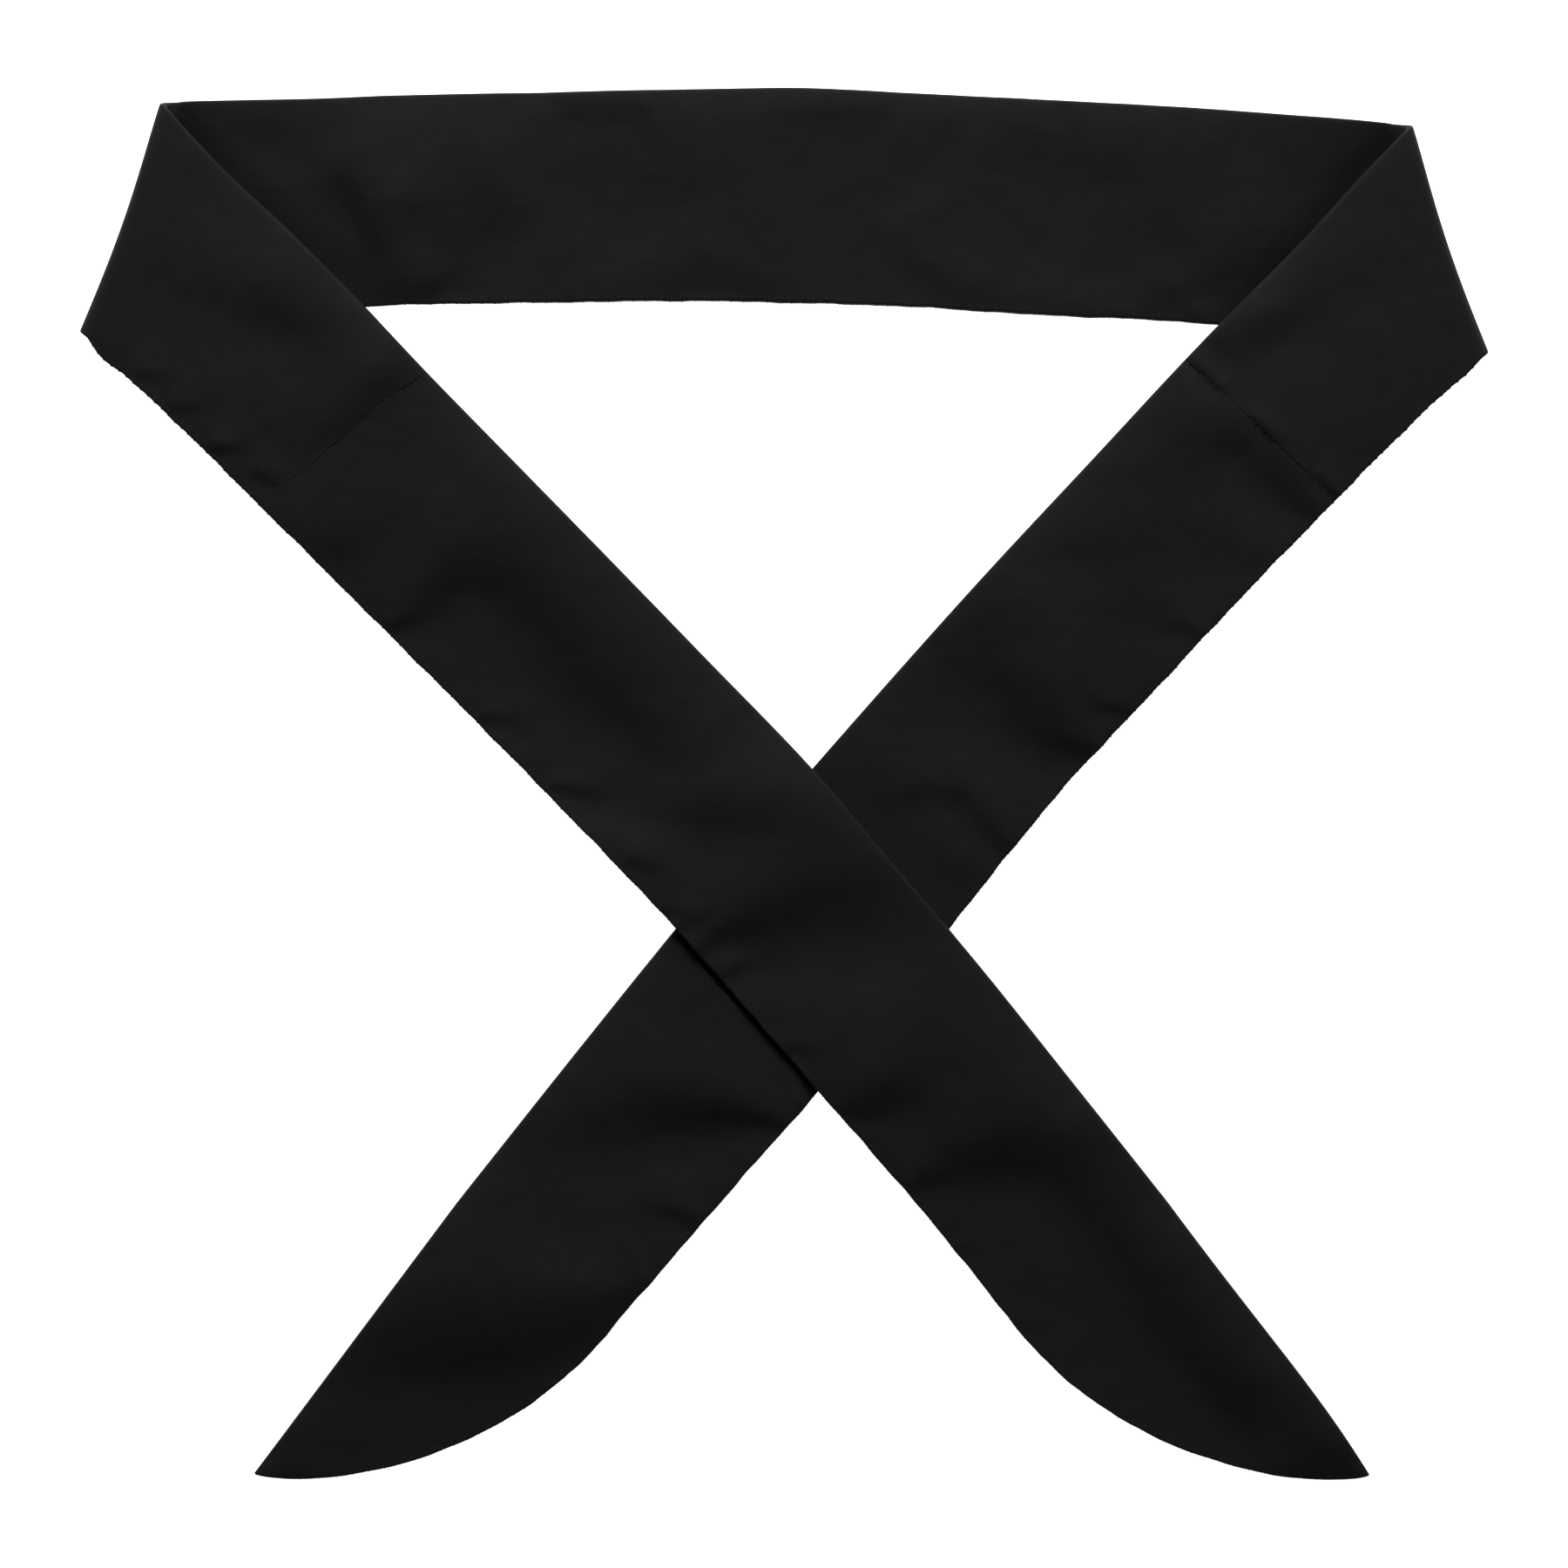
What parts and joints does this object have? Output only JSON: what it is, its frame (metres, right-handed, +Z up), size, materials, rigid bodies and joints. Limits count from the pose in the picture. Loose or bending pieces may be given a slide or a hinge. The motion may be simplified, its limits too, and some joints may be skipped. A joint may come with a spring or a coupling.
{
  "type": "cooling neck wrap",
  "caption": "Long flat sewn cloth neck wrap with a padded middle pocket and two curved-point tie tails, laid in a loop with the tails crossed.",
  "frame": {"origin": "under the middle of the outline, on the surface the wrap lies on", "axes": "+X to the right along the neck span, +Y from the tail tips towards the neck span, +Z up from the surface"},
  "size_m": [0.3275, 0.3255, 0.0059],
  "materials": {
    "cloth": "matt black plain-woven cotton cloth"
  },
  "bodies": {
    "root": {"neck_pocket": "cloth", "left_tail": "cloth", "right_tail": "cloth"}
  },
  "joints": []
}
